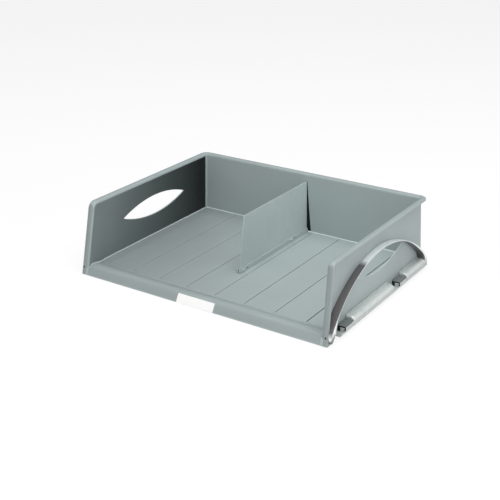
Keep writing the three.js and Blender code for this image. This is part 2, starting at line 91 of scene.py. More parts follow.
def piece(name, build, material, body, nodes, slot, bevel=0.0, angle=32.0):
    """Turns a build, in millimetres, into an object that rides a body and stands for CAD nodes."""
    mesh = bpy.data.meshes.new(name)
    mesh.from_pydata([[c * MM for c in v] for v in build.verts], [], build.faces)
    obj = bpy.data.objects.new(name, mesh)
    bpy.context.scene.collection.objects.link(obj)
    mesh.materials.append(material)
    finish_mesh(obj, angle)
    if bevel:
        mod = obj.modifiers.new("edge", "BEVEL")
        mod.width = bevel * MM
        mod.segments = 3
        mod.limit_method = "ANGLE"
        mod.angle_limit = math.radians(angle)
        mod.harden_normals = True
        mod.use_clamp_overlap = True
    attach(obj, body)
    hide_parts(*nodes)
    return obj


class Build:
    """Collects vertices and faces of one piece."""

    def __init__(self):
        self.verts = []
        self.faces = []

    def grid(self, rows, close_rows=False, close_cols=False):
        """Quads between rows of points."""
        start = len(self.verts)
        n = len(rows[0])
        for row in rows:
            self.verts.extend(row)
        last_row = len(rows) if close_rows else len(rows) - 1
        last_col = n if close_cols else n - 1
        for i in range(last_row):
            for j in range(last_col):
                a = start + i * n + j
                b = start + i * n + (j + 1) % n
                k = ((i + 1) % len(rows)) * n
                self.faces.append((a, b, start + k + (j + 1) % n, start + k + j))
        return start

    def cap(self, points):
        start = len(self.verts)
        self.verts.extend(points)
        self.faces.append(tuple(range(start, start + len(points))))

    def prism(self, outline, place, a, b):
        """A closed outline carried from a to b; place(u, v, t) gives the point."""
        rows = [[place(u, v, t) for u, v in outline] for t in (a, b)]
        self.grid(rows, close_cols=True)
        self.cap(rows[0])
        self.cap(rows[1])

    def box(self, x0, x1, y0, y1, z0, z1):
        self.prism([(x0, y0), (x1, y0), (x1, y1), (x0, y1)], lambda u, v, t: (u, v, t), z0, z1)

    def fill(self, outline, holes, place):
        """A flat face with holes."""
        bm = bmesh.new()
        for loop in [outline, *holes]:
            made = [bm.verts.new((u, v, 0.0)) for u, v in loop]
            for i, v in enumerate(made):
                bm.edges.new((v, made[(i + 1) % len(made)]))
        bmesh.ops.triangle_fill(bm, edges=bm.edges[:], use_beauty=True, use_dissolve=False)
        bm.verts.index_update()
        start = len(self.verts)
        self.verts.extend(place(v.co.x, v.co.y) for v in bm.verts)
        self.faces.extend(tuple(start + v.index for v in f.verts) for f in bm.faces)
        bm.free()

    def half_turn(self):
        """The same piece turned half round on the desk."""
        other = Build()
        other.verts = [(-x, -y, z) for x, y, z in self.verts]
        other.faces = list(self.faces)
        return other

    def mirror(self):
        """The same piece on the other side of the tray."""
        other = Build()
        other.verts = [(-x, y, z) for x, y, z in self.verts]
        other.faces = [tuple(reversed(f)) for f in self.faces]
        return other


def arc(cx, cy, r, a0, a1, n):
    """Points on a circle, angles in degrees."""
    out = []
    for i in range(n + 1):
        a = math.radians(a0 + (a1 - a0) * i / n)
        out.append((cx + r * math.cos(a), cy + r * math.sin(a)))
    return out


def along_x(u, v, t):
    return (t, u, v)


def along_y(u, v, t):
    return (u, t, v)


def ring(sides):
    """A unit circle as (cos, sin) pairs."""
    turns = [math.tau * i / sides for i in range(sides)]
    return [(math.cos(a), math.sin(a)) for a in turns]


def spread(a, b, n):
    return [a + (b - a) * i / n for i in range(n + 1)]


def clamp(v):
    return min(1.0, max(0.0, v))


# ---------------------------------------------------------------- materials
class Nodes:
    """Short calls for building a node tree."""

    def __init__(self, name):
        self.material = bpy.data.materials.new(name)
        self.material.use_nodes = True
        self.tree = self.material.node_tree
        self.bsdf = self.tree.nodes["Principled BSDF"]
        self.coord = self.tree.nodes.new("ShaderNodeTexCoord").outputs["Object"]

    def settle(self, colour, rough, normal):
        """Sets the surface's colour, roughness and bump."""
        for socket, value in (("Base Color", colour), ("Roughness", rough), ("Normal", normal)):
            if isinstance(value, float):
                self.bsdf.inputs[socket].default_value = value
            else:
                self.link(value, self.bsdf.inputs[socket])
        return self.material

    def node(self, kind, **settings):
        made = self.tree.nodes.new(kind)
        for key, value in settings.items():
            setattr(made, key, value)
        return made

    def link(self, a, b):
        self.tree.links.new(a, b)

    def stretch(self, sx, sy, sz):
        m = self.node("ShaderNodeMapping")
        m.inputs["Scale"].default_value = (sx, sy, sz)
        self.link(self.coord, m.inputs["Vector"])
        return m.outputs["Vector"]

    def noise(self, scale, detail, rough, vector=None):
        n = self.node("ShaderNodeTexNoise")
        n.inputs["Scale"].default_value = scale
        n.inputs["Detail"].default_value = detail
        n.inputs["Roughness"].default_value = rough
        self.link(vector or self.coord, n.inputs["Vector"])
        return n.outputs["Fac"]

    def ramp(self, value, lo, hi, out_lo, out_hi):
        m = self.node("ShaderNodeMapRange")
        m.inputs["From Min"].default_value = lo
        m.inputs["From Max"].default_value = hi
        m.inputs["To Min"].default_value = out_lo
        m.inputs["To Max"].default_value = out_hi
        self.link(value, m.inputs["Value"])
        return m.outputs["Result"]

    def mix(self, fac, a, b):
        m = self.node("ShaderNodeMix", data_type="RGBA")
        for socket, value in ((m.inputs[0], fac), (m.inputs[6], a), (m.inputs[7], b)):
            if isinstance(value, (float, int)):
                socket.default_value = value
            elif isinstance(value, tuple):
                socket.default_value = (*value, 1.0)
            else:
                self.link(value, socket)
        return m.outputs[2]

    def bump(self, height, distance, strength=1.0, normal=None):
        b = self.node("ShaderNodeBump")
        b.inputs["Strength"].default_value = strength
        b.inputs["Distance"].default_value = distance
        self.link(height, b.inputs["Height"])
        if normal is not None:
            self.link(normal, b.inputs["Normal"])
        return b.outputs["Normal"]

    def split(self, vector):
        s = self.node("ShaderNodeSeparateXYZ")
        self.link(vector, s.inputs[0])
        return s.outputs

    def facing(self):
        """The surface direction as X, Y and Z."""
        return self.split(self.node("ShaderNodeNewGeometry").outputs["Normal"])

    def times(self, a, b):
        m = self.node("ShaderNodeMath", operation="MULTIPLY")
        for socket, value in zip(m.inputs, (a, b)):
            if isinstance(value, float):
                socket.default_value = value
            else:
                self.link(value, socket)
        return m.outputs[0]

    def dim(self, factor, colour):
        return self.mix(factor, (0, 0, 0), colour)

    def mottled(self, fac, base, low, high):
        """The base colour drifting between two brightness factors."""
        return self.mix(self.ramp(fac, 0.3, 0.7, 0.0, 1.0), shade(base, low), shade(base, high))

    def edges(self):
        g = self.node("ShaderNodeNewGeometry")
        return self.ramp(g.outputs["Pointiness"], 0.52, 0.6, 0.0, 1.0)


def shade(c, k):
    return tuple(min(1.0, v * k) for v in c)


def moulded(name, base, rough=0.5, wear=0.35, tones=()):
    """Injection-moulded plastic: fine spark-eroded grain, faint flow mottling, paler worn edges.

    Each of the tones takes (nodes, colour, base) and returns the colour with painted shade or painted
    highlights laid on by place."""
    n = Nodes(name)
    fine = n.noise(2600.0, 3.0, 0.6)
    cloud = n.noise(9.0, 5.0, 0.6)
    speck = n.noise(420.0, 2.0, 0.5)
    scuff = n.noise(60.0, 6.0, 0.7)
    colour = n.mottled(cloud, base, 0.965, 1.035)
    colour = n.mix(n.ramp(speck, 0.45, 0.8, 0.0, 0.06), colour, shade(base, 1.25))
    worn = n.times(n.edges(), n.ramp(scuff, 0.35, 0.65, 0.4, 1.0))
    colour = n.mix(n.times(worn, wear), colour, shade(base, 1.45))
    # Painted shade and painted highlights by place, where tones are given.
    for tone in tones:
        colour = tone(n, colour, base)
    n.bsdf.inputs["Specular IOR Level"].default_value = 0.45
    rough = n.ramp(scuff, 0.3, 0.7, rough - 0.05, rough + 0.06)
    return n.settle(colour, rough, n.bump(fine, 0.00006))


def painted_shade_along(axis, low, high, low_factor, high_factor, start=-1.0):
    """A tone of painted shade: it darkens the colour by a factor running along an axis, behind a start in Y
    (metres).
    """
    def tone(n, colour, base):
        place = n.split(n.coord)
        shaded_colour = n.dim(n.ramp(place[axis], low, high, low_factor, high_factor), colour)
        return n.mix(n.ramp(place["Y"], start, start + 0.006, 0.0, 1.0), colour, shaded_colour)
    return tone


def floor_painted_shade_and_highlights(n, colour, base):
    """Painted shade in the grooves and along the crease, and painted highlights on the fillets where the
    floor meets the rear and left walls.
    """
    place = n.split(n.coord)
    start = (CREASE + 5) * MM
    rear = (REAR_IN - 1.2) * MM
    left = (1 - WALL_IN) * MM
    groove_painted_shade = n.ramp(place["Z"], (FLOOR - 0.7) * MM, (FLOOR - 0.1) * MM, 1.0, 0.0)
    groove_painted_shade = n.times(groove_painted_shade, n.ramp(place["Y"], start, start + 0.002, 0.0, 1.0))
    groove_painted_shade = n.times(groove_painted_shade, n.ramp(place["X"], -0.15, 0.08, 0.1, 0.95))
    # Painted shade in the grooves: down to a fifth of the base colour, stronger toward the right.
    colour = n.mix(groove_painted_shade, colour, shade(base, 0.2))
    into = n.ramp(place["Y"], start - 0.018, start - 0.006, 0.0, 0.34)
    crease = n.times(into, n.ramp(place["Y"], start - 0.005, start - 0.002, 1.0, 0.0))
    # Painted shade in a band along the crease.
    colour = n.mix(crease, colour, shade(base, 0.4))
    # Painted highlights along the fillets at the rear wall (1.7 times) and the left wall (1.3 times).
    colour = n.mix(n.ramp(place["Y"], rear - 0.0006, rear, 0.0, 1.0), colour, shade(base, 1.7))
    return n.mix(n.ramp(place["X"], left, left + 0.0006, 1.0, 0.0), colour, shade(base, 1.3))


def flange_painted_shade(n, colour, base):
    """The raked front face of the rim is painted a little darker than the rest, as shade."""
    place = n.split(n.coord)
    behind = n.node("ShaderNodeMath", operation="MULTIPLY_ADD")
    n.link(place["Z"], behind.inputs[0])
    behind.inputs[1].default_value = -RAKE
    n.link(place["Y"], behind.inputs[2])
    front = FRONT * MM
    skin = n.ramp(behind.outputs[0], front + 0.0012, front + 0.003, 1.0, 0.0)
    # Painted shade: the front face at 74% of its colour.
    return n.mix(skin, colour, n.dim(0.74, colour))


def lacquer(name, base):
    """Silver lacquer on plastic: fine metal flake under a soft gloss, with painted shade where it faces
    sideways, down or straight up, so it is brightest half way round.
    """
    n = Nodes(name)
    flake = n.noise(5200.0, 2.0, 0.6)
    cloud = n.noise(14.0, 4.0, 0.6)
    colour = n.mottled(cloud, base, 0.96, 1.04)
    colour = n.mix(n.ramp(flake, 0.55, 0.75, 0.0, 0.35), colour, shade(base, 1.3))
    up = n.facing()["Z"]
    # Painted shade: 60% of the colour where the surface faces sideways or down, 80% where it faces straight
    # up.
    colour = n.mix(n.ramp(up, 0.15, 0.6, 0.0, 1.0), n.dim(0.6, colour), colour)
    colour = n.mix(n.ramp(up, 0.85, 0.98, 0.0, 1.0), colour, n.dim(0.8, colour))
    n.bsdf.inputs["Metallic"].default_value = 0.25
    n.bsdf.inputs["Coat Weight"].default_value = 0.15
    n.bsdf.inputs["Coat Roughness"].default_value = 0.3
    return n.settle(colour, n.ramp(cloud, 0.3, 0.7, 0.26, 0.34), n.bump(flake, 0.00003, 0.5))


def satin(name, base):
    """Satin-chromed strip: fine brush lines along its length, with painted shade, nearly black, where it
    faces down or forward.
    """
    n = Nodes(name)
    lines = n.noise(1.0, 4.0, 0.6, n.stretch(4200.0, 60.0, 60.0))
    cloud = n.noise(24.0, 4.0, 0.6)
    facing = n.facing()
    under = n.ramp(facing["Z"], -0.25, 0.02, 1.0, 0.0)
    above_foot = n.ramp(n.split(n.coord)["Z"], 0.013, 0.022, 0.0, 1.0)
    ahead_painted_shade = n.times(n.ramp(facing["Y"], -0.25, -0.2, 1.0, 0.0), above_foot)
    colour = n.mottled(cloud, base, 0.95, 1.04)
    colour = n.mix(n.ramp(lines, 0.4, 0.7, 0.0, 0.15), colour, shade(base, 1.25))
    # Painted shade: faces that look forward, above the foot, or down are coloured nearly black.
    colour = n.mix(ahead_painted_shade, colour, (0.15, 0.142, 0.146))
    colour = n.mix(under, colour, (0.13, 0.135, 0.135))
    n.bsdf.inputs["Metallic"].default_value = 0.45
    return n.settle(colour, n.ramp(lines, 0.3, 0.7, 0.26, 0.36), n.bump(lines, 0.00002, 0.6))


def rubber(name, base):
    """Soft pad: matt, with fine cross ribs and dust."""
    n = Nodes(name)
    wave = n.node("ShaderNodeTexWave", bands_direction="Y")
    wave.inputs["Scale"].default_value = 190.0
    wave.inputs["Distortion"].default_value = 0.4
    n.link(n.coord, wave.inputs["Vector"])
    dust = n.noise(700.0, 5.0, 0.7)
    colour = n.mix(n.ramp(dust, 0.4, 0.75, 0.0, 0.6), base, shade(base, 1.7))
    return n.settle(colour, 0.78, n.bump(wave.outputs["Fac"], 0.0003, 0.7, n.bump(dust, 0.0001)))


def paper(name, base):
    """Uncoated card: faint fibres."""
    n = Nodes(name)
    fibre = n.noise(1.0, 6.0, 0.7, n.stretch(900.0, 2600.0, 2600.0))
    colour = n.mix(n.ramp(fibre, 0.35, 0.7, 0.0, 1.0), shade(base, 0.985), base)
    return n.settle(colour, 0.75, n.bump(fibre, 0.00004))


GREY = (0.39, 0.452, 0.452)
grey = moulded("grey_plastic", GREY)
# Painted shade on the left inside wall: 97% of the colour at its front, falling to 4% at its rear.
grey_painted_shade = moulded("grey_plastic_left_painted_shade", GREY, wear=0.1, tones=[painted_shade_along("Y", -0.12, 0.16, 0.97, 0.04)])
# The shell's material paints shade on the raked front face of the rim.
grey_shell = moulded("grey_plastic_shell_painted_flange_shade", GREY, tones=[flange_painted_shade])
# Painted shade on the floor behind the lip: 74% of the colour at the left, rising to 98% by the middle.
FLOOR_PAINTED_SHADE = painted_shade_along("X", -0.22, -0.02, 0.74, 0.98, (CREASE - 3) * MM)
grey_floor = moulded("grey_plastic_floor_painted_light", GREY, tones=[FLOOR_PAINTED_SHADE, floor_painted_shade_and_highlights])
# Painted highlight: the right hand hole's rounded edge 1.6 times paler than the wall.
grey_painted_highlight = moulded("grey_plastic_edge_painted_highlight", shade(GREY, 1.6), wear=0.1)
# Grey plastic painted nearly black, as shade, for the pits on the flange and the key slot.
hollow_painted_shade = moulded("grey_plastic_painted_deep_shade", (0.012, 0.014, 0.014), rough=0.8, wear=0.0)
peg_mat = moulded("peg_plastic", (0.5, 0.56, 0.55), rough=0.35)
black = moulded("black_plastic", (0.006, 0.006, 0.007), rough=0.45, wear=0.1)
silver = lacquer("rail_silver", (0.87, 0.935, 0.915))
chrome = satin("satin_metal", (0.93, 0.98, 0.975))
pad_mat = rubber("dark_rubber", (0.17, 0.195, 0.195))
foot_mat = rubber("foot_rubber", (0.05, 0.055, 0.055))
card = paper("white_card", (0.99, 0.99, 0.985))


# ---------------------------------------------------------------- tray shell
RIM_R = 13.0
RIM_PLAN_R = 3.2
REAR_STATIONS = spread(210, -210, 14)
HOLE_Y, HOLE_Z = 8.0, 70.3
HOLE_HALF_LONG, HOLE_HALF_HIGH = 95.0, 17.7
HOLE_ROUND = 0.8


def rim_profile():
    """Cross-section of the turned rim: (outward, down from the edge)."""
    inner = 4.5
    out = RIM_X - WALL_IN
    nose = 1.9
    pts = [(0.0, RIM_INSIDE)]
    pts += arc(inner, inner, inner, 180, 270, 7)
    pts += arc(out - nose, nose, nose, 270, 360, 5)
    pts += [(out, 4.1), (out - 0.2, 4.5), (out - 0.6, 4.7)]
    pts += [(4.4, 7.8), (2.9, 8.7), (WALL, 9.8), (WALL, RIM_DEEP)]
    return pts


def side_frames():
    """Edge of the right wall from the front foot up, round the corner and back."""
    into = Vector((0, math.cos(LEAN), -math.sin(LEAN)))
    out = Vector((1, 0, 0))
    cz = TOP - RIM_R
    cy = FRONT + RAKE * cz + RIM_R / math.cos(LEAN)
    centre = Vector((WALL_IN, cy, cz))
    frames = []
    for z in (SKIRT + 0.1, 5.0, 9.0, 14.0, 30.0, 50.0, 70.0, 90.0, 104.0):
        frames.append((Vector((WALL_IN, FRONT + RAKE * z, z)), out, into))
    steps = 12
    turn = math.pi / 2 - LEAN
    for i in range(steps + 1):
        a = LEAN + turn * i / steps
        v = Vector((0, math.cos(a), -math.sin(a)))
        frames.append((centre - v * RIM_R, out, v))
    down = Vector((0, 0, -1))
    for y in (-140.0, -100.0, -60.0, -20.0, 20.0, 60.0, 100.0, 140.0, 165.0):
        frames.append((Vector((WALL_IN, y, TOP)), out, down))
    return frames


def corner_frames():
    down = Vector((0, 0, -1))
    frames = []
    steps = 8
    for i in range(steps + 1):
        a = math.pi / 2 * i / steps
        u = Vector((math.cos(a), math.sin(a), 0))
        centre = Vector((WALL_IN - RIM_PLAN_R, REAR_IN - RIM_PLAN_R, TOP))
        frames.append((centre + u * RIM_PLAN_R, u, down))
    return frames


def flip(frames):
    return [tuple(Vector((-v.x, v.y, v.z)) for v in f) for f in reversed(frames)]


def rim():
    side = side_frames()
    corner = corner_frames()
    rear = []
    for x in REAR_STATIONS:
        rear.append((Vector((x, REAR_IN, TOP)), Vector((0, 1, 0)), Vector((0, 0, -1))))
    path = side + corner + rear + flip(corner) + flip(side)
    profile = rim_profile()
    b = Build()
    rows = [[tuple(o + u * p + v * q) for p, q in profile] for o, u, v in path]
    b.grid(rows)
    b.cap(rows[0])
    b.cap(rows[-1])
    return b


def lens(offset):
    """Outline of the hand hole in (y, z), grown by an offset."""
    cy, cz, a, h = HOLE_Y, HOLE_Z, HOLE_HALF_LONG, HOLE_HALF_HIGH
    r = (a * a + h * h) / (2 * h)
    half = math.degrees(math.asin(a / r))
    n = 36
    upper = arc(cy, cz - (r - h), r + offset, 90 - half, 90 + half, n)
    lower = arc(cy, cz + (r - h), r + offset, -90 - half, -90 + half, n)
    tip = offset * 1.5 - 0.4
    return upper[1:-1] + [(cy - a - tip, cz)] + lower[1:-1] + [(cy + a + tip, cz)]


def side_wall(x, deep):
    """One skin of the right wall, from a depth below the rim down to the skirt."""
    b = Build()
    outline = [(f[0].y + f[2].y * deep, f[0].z + f[2].z * deep) for f in side_frames()]
    end = REAR_IN - RIM_PLAN_R
    outline += [(end, TOP - deep), (end, SKIRT), (outline[0][0], SKIRT)]
    b.fill(outline, [lens(HOLE_ROUND)], lambda u, v: (x, u, v))
    return b


def hole_edge():
    """Rounded edge of the right hand hole."""
    through = [(0, HOLE_ROUND), (0.08, 0.45), (0.3, 0.14), (0.75, 0.0)]
    through += [(1.35, 0.0), (1.8, 0.14), (2.02, 0.45), (WALL, HOLE_ROUND)]
    b = Build()
    b.grid([[(WALL_IN + t, u, v) for u, v in lens(offset)] for t, offset in through], close_cols=True)
    return b


# Outline of the keyhole in the rear wall, in (x, z).
KEY = [(-1.7, FLOOR - 1), (10.0, FLOOR - 1), (5.9, 55.0), (1.5, 110.5), (-1.7, 110.5)]


def rear_wall():
    """Both skins of the rear wall, and the upright corners beside it."""
    b = Build()
    end = WALL_IN - RIM_PLAN_R
    xs = [end] + REAR_STATIONS + [-end]
    inner = (REAR_IN, RIM_INSIDE, RIM_PLAN_R)
    outer = (REAR_IN + WALL, RIM_DEEP, RIM_PLAN_R + WALL)
    for y, deep, r in (inner, outer):
        high = TOP - deep
        outline = [(x, high) for x in xs] + [(-end, SKIRT), (end, SKIRT)]
        b.fill(outline, [KEY], lambda u, v, y=y: (u, y, v))
        plan = arc(end, REAR_IN - RIM_PLAN_R, r, 0, 90, 8)
        for s in (1, -1):
            b.grid([[(s * x, py, z) for x, py in plan] for z in spread(high, SKIRT, 4)])
    return b


def skirt_edges():
    """Lower edges of the walls, the ribs and plate under the floor, and the two rear corner blocks."""
    b = Build()
    end = REAR_IN - RIM_PLAN_R
    for s in (1, -1):
        a, c = sorted((s * WALL_IN, s * WALL_OUT))
        b.box(a + 0.01, c - 0.01, FRONT + 4, end, SKIRT, SKIRT + 0.6)
    b.box(-WALL_IN + 3.2, WALL_IN - 3.2, REAR_IN + 0.01, REAR_IN + WALL - 0.01, SKIRT, SKIRT + 0.6)
    for g in GROOVES:
        x = g + GROOVE_PITCH / 2
        b.box(x - RIB_HALF, x + RIB_HALF, CREASE + 2, REAR_IN + 1, RIB_LOW, FLOOR - 2)
    for y in (-85, 0, 85):
        b.box(-WALL_IN - 1, WALL_IN + 1, y - RIB_HALF, y + RIB_HALF, RIB_LOW + 0.01, FLOOR - 2)
    b.box(-WALL_IN - 0.5, WALL_IN + 0.5, CREASE - 14, REAR_IN + 0.5, FLOOR - 2.1, FLOOR - 1.6)
    for s in (1, -1):
        a, c = sorted((s * (WALL_IN - 14), s * (WALL_IN + 0.5)))
        b.box(a, c, REAR_IN - 14, REAR_IN + 0.5, SKIRT, FLOOR - 2)
    return b


def key_boss():
    """Box behind the rear wall, and the dark slot inside it."""
    outside = Build()
    half, wall = 14, 2
    near, far, high = REAR_IN + 1, REAR - 2.9, TOP - 3
    outside.box(-half, wall - half, near, far, SKIRT, high)
    outside.box(half - wall, half, near, far, SKIRT, high)
    outside.box(-half, half, far - 1.8, far + 0.01, SKIRT, high)
    outside.box(-half, half, near, far, DIV_TOP + 1.5, high + 0.01)
    outside.box(-half, half, near, far, SKIRT, FLOOR - 1.5)
    inside = Build()
    rows = [[(u, y, v) for u, v in KEY] for y in (REAR_IN, REAR_IN + 0.5, REAR_IN + 5)]
    inside.grid(rows, close_cols=True)
    inside.cap(rows[-1])
    return outside, inside


# The lip in (y, z) behind the front plane: foot, face, rounded top, crease and floor.
LIP = [
    (0.35, SKIRT), (0.15, 1.0), (0.5, 1.5), (1.5, 3.3), (3.2, 6.3), (5.2, 9.4), (7.0, 12.0), (8.3, 13.4),
    (10.0, 14.5), (12.2, 15.2), (14.6, 15.4), (17.0, 15.2), (20.0, 14.7), (23.0, 14.05), (26.0, 13.3),
    (28.4, 12.65), (30.0, 12.3), (31.2, 12.2), (32.4, 12.4), (33.6, 12.85), (34.6, 13.1), (35.6, FLOOR),
]
LIP_TOP = 10
LIP_FACE = 8


def lip_height(s):
    """Height above the floor at a distance s in front of the crease."""
    y = CREASE - FRONT - s
    behind = LIP[LIP_TOP:]
    if y <= behind[0][0]:
        return behind[0][1] - FLOOR
    for (a, p), (c, q) in zip(behind, behind[1:]):
        if y <= c:
            return p + (q - p) * (y - a) / (c - a) - FLOOR
    return 0.0


GROOVE_PITCH = 58
GROOVES = [15 + GROOVE_PITCH * k for k in range(-4, 4)]
RIB_HALF, RIB_LOW = 0.9, 3
SLOTS = [(-53.3, -26.7), (41.7, 68.3), (136.7, 163.3)]
SLOT_HALF, SLOT_BOTTOM = 1.3, 4.0
CREASE_R = 15.0
FILLET = 1.4


def groove_size(x):
    """Half width and depth; the groove nearest the right wall is the largest."""
    return (1.0, 1.5) if x == GROOVES[-1] else (0.72, 1.0)


def floor_height(x, y):
    """Height of the floor's surface, with its lip, grooves, fillets and divider slots."""
    ax = abs(x)
    dx = ax - (WALL_IN - CREASE_R)
    dy = CREASE + CREASE_R - y
    if dx > 0 and dy > 0:
        s = math.hypot(dx, dy) - CREASE_R
    elif dy > 0:
        s = dy - CREASE_R
    else:
        s = -10.0
    z = FLOOR + lip_height(s)
    fade = clamp((y - (CREASE + 4.0)) / 3.0) * clamp((REAR_IN - 2.0 - y) / 2.0)
    for g in GROOVES:
        wide, deep = groove_size(g)
        off = abs(x - g)
        if off < wide:
            z -= fade * deep * (1.0 if off < wide * 0.5 else (wide - off) / (wide * 0.5))
    for gap in (WALL_IN - ax, REAR_IN - y):
        if gap < FILLET:
            z += FILLET - math.sqrt(max(0.0, FILLET * FILLET - (FILLET - gap) ** 2))
    if ax < SLOT_HALF:
        for y0, y1 in SLOTS:
            if y0 <= y <= y1:
                z = SLOT_BOTTOM
    return z


def tray_floor():
    xs = set()
    for g in GROOVES:
        wide = groove_size(g)[0]
        for k in (-1.0, -0.5, 0.5, 1.0):
            xs.add(round(g + wide * k, 4))
    beside_wall = spread(WALL_IN - CREASE_R, WALL_IN - 1.5, 11)
    beside_wall += [WALL_IN - d for d in (1.1, 0.6, 0.25, 0.0)]
    for x in beside_wall + [SLOT_HALF - 0.01, SLOT_HALF + 0.01]:
        xs.add(round(x, 4))
        xs.add(round(-x, 4))
    for x in range(-210, 211, 30):
        xs.add(float(x) + 0.5)
    ys = [FRONT + y for y, _ in LIP[LIP_TOP:]]
    ys += [CREASE + s for s in (5.0, 6.0, 7.0, 8.5, 10.0, 12.0, 15.0)]
    ys += spread(-140, 170, 12)
    for y0, y1 in SLOTS:
        ys += [y0 - 0.01, y0, y1, y1 + 0.01]
    ys += [REAR_IN - d for d in (6.0, 4.0, 3.0, 2.0, 1.4, 1.1, 0.6, 0.25, 0.0)]
    xs = sorted(xs)
    ys = sorted(set(round(y, 4) for y in ys))
    over = 3.5
    cols = [-WALL_IN - over] + xs + [WALL_IN + over]
    rows = []
    for y, z in LIP[:LIP_TOP]:
        tuck = over - min(over, max(0.0, (y - 3.2) * 1.2))
        rows.append([(max(-WALL_IN - tuck, min(WALL_IN + tuck, x)), FRONT + y, z) for x in cols])
    for y in ys:
        rows.append([(x, y, floor_height(x, y)) for x in [xs[0]] + xs + [xs[-1]]])
    b = Build()
    b.grid(rows)
    return b


def nose():
    """Body of the lip under its skin, and the blocks that close its two ends."""
    b = Build()
    under = [
        (0.9, SKIRT), (1.0, 1.4), (2.2, 3.6), (5.9, 9.4), (7.7, 11.8), (10.3, 13.8), (14.6, 14.8),
        (20.0, 14.0), (26.0, 12.6), (29.0, 11.8), (28.0, 11.0), (20.0, 12.0), (10.0, 10.5),
        (6.0, 5.5), (3.0, SKIRT),
    ]
    b.prism([(FRONT + y, z) for y, z in under], along_x, -WALL_IN - 1.5, WALL_IN + 1.5)
    block = [(0.6, SKIRT), (2.4, 12.0), (9.9, 12.0), (9.9, SKIRT)]
    for s in (1, -1):
        a, c = sorted((s * (WALL_IN - 1.5), s * (RIM_X - 0.5)))
        b.prism([(FRONT + y, z) for y, z in block], along_x, a, c)
    return b


def dimple():
    """A small moulded pit low on the front flange."""
    b = Build()
    x, z = WALL_IN + 6.9, 13.6
    y = FRONT + RAKE * z - 0.04
    rows = []
    for r, d in ((1.6, 0.0), (1.1, 0.02), (0.5, 0.03)):
        rows.append([(x + r * c, y + d + RAKE * r * s, z + r * s) for c, s in ring(20)])
    b.grid(rows, close_cols=True)
    b.cap(rows[-1])
    return b


def joined(*parts):
    b = Build()
    for p in parts:
        start = len(b.verts)
        b.verts.extend(p.verts)
        b.faces.extend(tuple(start + i for i in f) for f in p.faces)
    return b


def tray_piece(name, build, material, **more):
    return piece(name, build, material, "tray", ["tray_body"], "grey_plastic", **more)


outer_skin = side_wall(WALL_OUT, RIM_DEEP)
inner_skin = side_wall(WALL_IN, RIM_INSIDE)
edge = hole_edge()
shell = joined(rim(), outer_skin, outer_skin.mirror(), edge.mirror(), rear_wall(), inner_skin)
tray_piece("tray_shell", shell, grey_shell)
# The right hand hole's edge carries a painted highlight.
tray_piece("tray_hole_edge", edge, grey_painted_highlight)
# The left inside wall carries painted shade that darkens to near black at the rear.
left_skin = tray_piece("tray_left_inside", inner_skin.mirror(), grey_painted_shade)
# The flange pits are painted nearly black, as shade.
tray_piece("tray_pits", joined(dimple(), dimple().mirror()), hollow_painted_shade)
tray_piece("tray_floor", tray_floor(), grey_floor, angle=40)
tray_piece("tray_lip", nose(), grey, angle=28)
tray_piece("tray_base", skirt_edges(), grey)
boss_out, boss_in = key_boss()
tray_piece("tray_boss", boss_out, grey, bevel=0.6)
# The key slot's faces are painted nearly black, as shade.
tray_piece("tray_key_slot", boss_in, hollow_painted_shade)


# ---------------------------------------------------------------- divider
DIVIDER_RAKE = 0.1535
PEG_R = 2.7


def divider_plate():
    """The upright sheet with its raked, rounded front edge and its tongues in the floor slots."""
    b = Build()
    base = FLOOR + 0.3
    y0 = PLATE_LO[1]
    rake = DIVIDER_RAKE
    high = DIV_TOP
    outline = [(y0, base), (y0 + rake * (high - base - 3.2), high - 3.2)]
    front = y0 + rake * (high - base)
    outline += [(front + 0.5, high - 1.4), (front + 1.6, high - 0.3), (front + 3.2, high)]
    outline += [(PLATE_HI[1], high), (PLATE_HI[1], base)]
    b.prism(outline, along_x, PLATE_LO[0], PLATE_HI[0])
    for lo, hi in SLOTS:
        b.box(PLATE_LO[0], PLATE_HI[0], lo + 0.4, hi - 0.4, 6, base + 0.5)
    return b


def divider_strip():
    """Tapered strips along both sides of the sheet's foot."""
    b = Build()
    w = STRIP_HI[0]
    top = STRIP_HI[2]
    base = STRIP_LO[2]
    for s in (1, -1):
        outline = [(0.9, base), (w, base), (w, base + 1.3)]
        outline += [(w - 0.7, base + 4.2), (w - 1.5, top), (0.9, top)]
        b.prism([(s * u, v) for u, v in outline], along_y, STRIP_LO[1], STRIP_HI[1])
    return b


def lathe_x(profile, y, z, sides=28):
    """A closed shape turned about an axis along X; profile of (x, radius)."""
    b = Build()
    rows = [[(x, y + r * c, z + r * s) for c, s in ring(sides)] for x, r in profile]
    b.grid(rows, close_cols=True)
    b.cap(rows[0])
    b.cap(rows[-1])
    return b


def peg(node):
    """A peg's two round ends, one on each side of the strip, and its axis."""
    lo, hi = box_mm(node)
    y, z = (lo[1] + hi[1]) / 2, (lo[2] + hi[2]) / 2
    parts = []
    for s in (1, -1):
        x = hi[0] * s
        near = s * (STRIP_HI[0] - 1.2)
        nose_end = [(x - s * back, r) for back, r in ((0.9, PEG_R), (0.4, 2.5), (0.1, 1.9), (0.0, 1.1))]
        parts.append(lathe_x([(near, PEG_R)] + nose_end, y, z))
    return joined(*parts), y, z


def peg_painted_shadow_pits(y, z):
    """A small round pit on each side of the strip, just behind a peg, that stands for the peg's painted
    shadow.
    """
    parts = []
    for s in (1, -1):
        x = s * (STRIP_HI[0] - 0.35)
        steps = ((-0.6, 1.3), (0.0, 1.3), (0.2, 1.1), (0.12, 0.7), (-0.1, 0.4))
        parts.append(lathe_x([(x + s * out, r) for out, r in steps], y, z, 20))
    return joined(*parts)


